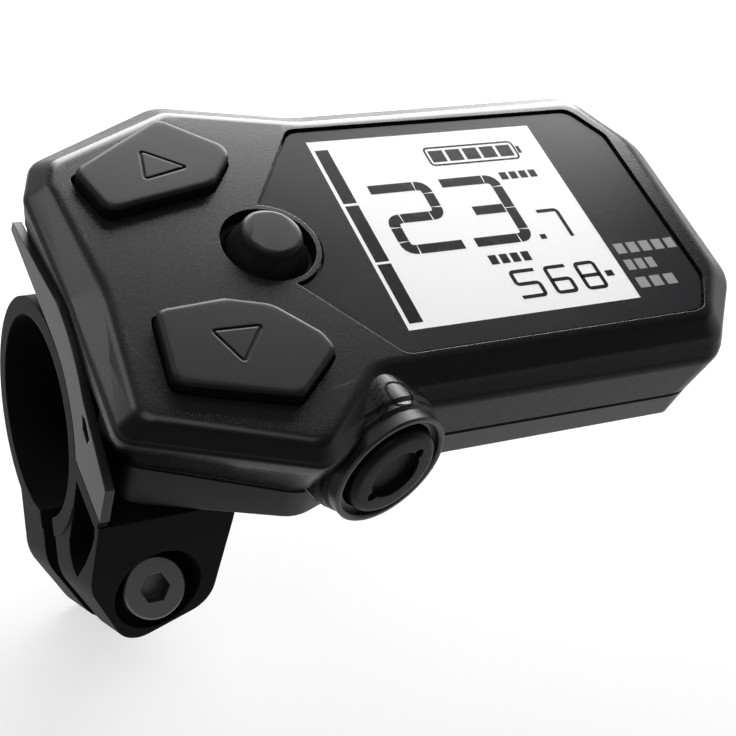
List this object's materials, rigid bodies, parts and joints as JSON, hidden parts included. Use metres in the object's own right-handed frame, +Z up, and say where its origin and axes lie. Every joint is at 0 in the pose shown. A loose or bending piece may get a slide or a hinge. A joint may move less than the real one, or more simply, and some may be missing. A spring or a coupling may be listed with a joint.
{
  "type": "bike computer",
  "caption": "Compact handlebar display and switch unit for an electric bicycle, with push buttons, a round front button and a clamp with a bolt.",
  "frame": {"origin": "centre of the handlebar clamp bore, at the middle of the clamp's length", "axes": "+X along the handlebar from the switch end towards the display end, +Y away from the rider, +Z up through the display"},
  "size_m": [0.0803, 0.0529, 0.0472],
  "materials": {
    "housing": "fine moulded texture, satin black",
    "clamp": "fine moulded texture, satin black",
    "black_steel": "black oxide",
    "bright_steel": "zinc plated",
    "seal": "matt black",
    "lens": "hard coated",
    "lcd": "white reflective display glass",
    "guide": "clear, white backed",
    "white_plastic": "moulded",
    "board": "green lacquer",
    "chip": "moulded",
    "button": "matt, rounded edges",
    "front_button": "satin black",
    "collar": "satin black",
    "brass": "plated"
  },
  "bodies": {
    "housing": {"upper_housing": "housing", "lower_housing": "housing", "clamp_bracket": "clamp", "clamp_bolt": "black_steel", "clamp_nut": "bright_steel", "bracket_screws": "bright_steel", "housing_screws": "black_steel", "housing_seal": "seal", "display_lens": "lens", "lens_gasket": "seal", "lcd_glass": "lcd", "light_guide": "guide", "lcd_frame": "white_plastic", "contact_strips": "seal", "main_board": "board", "board_chips": "chip", "light_collar": "collar", "up_switch": "chip", "down_switch": "chip", "mode_switch": "chip", "light_switch": "chip", "light_board": "board", "button_seals": "seal", "light_seal": "seal", "cable_port": "collar", "port_pins": "brass"},
    "up_button": {"up_button": "button", "up_plunger": "brass"},
    "down_button": {"down_button": "button", "down_plunger": "brass"},
    "mode_button": {"mode_button": "button", "mode_plunger": "brass"},
    "light_button": {"light_button": "front_button", "light_plunger": "brass"}
  },
  "joints": [
    {"name": "up_press", "type": "slide", "parent": "housing", "child": "up_button", "axis": [0, 0, -1], "range_m": [0, 0.0006], "stiffness_N_per_m": 1500, "springref_m": -0.0005},
    {"name": "down_press", "type": "slide", "parent": "housing", "child": "down_button", "axis": [0, 0, -1], "range_m": [0, 0.0006], "stiffness_N_per_m": 1500, "springref_m": -0.0005},
    {"name": "mode_press", "type": "slide", "parent": "housing", "child": "mode_button", "axis": [0, 0, -1], "range_m": [0, 0.0006], "stiffness_N_per_m": 1500, "springref_m": -0.0005},
    {"name": "light_press", "type": "slide", "parent": "housing", "child": "light_button", "axis": [-0.2064, 0.9709, -0.1219], "range_m": [0, 0.0006], "stiffness_N_per_m": 1500, "springref_m": -0.0005}
  ]
}
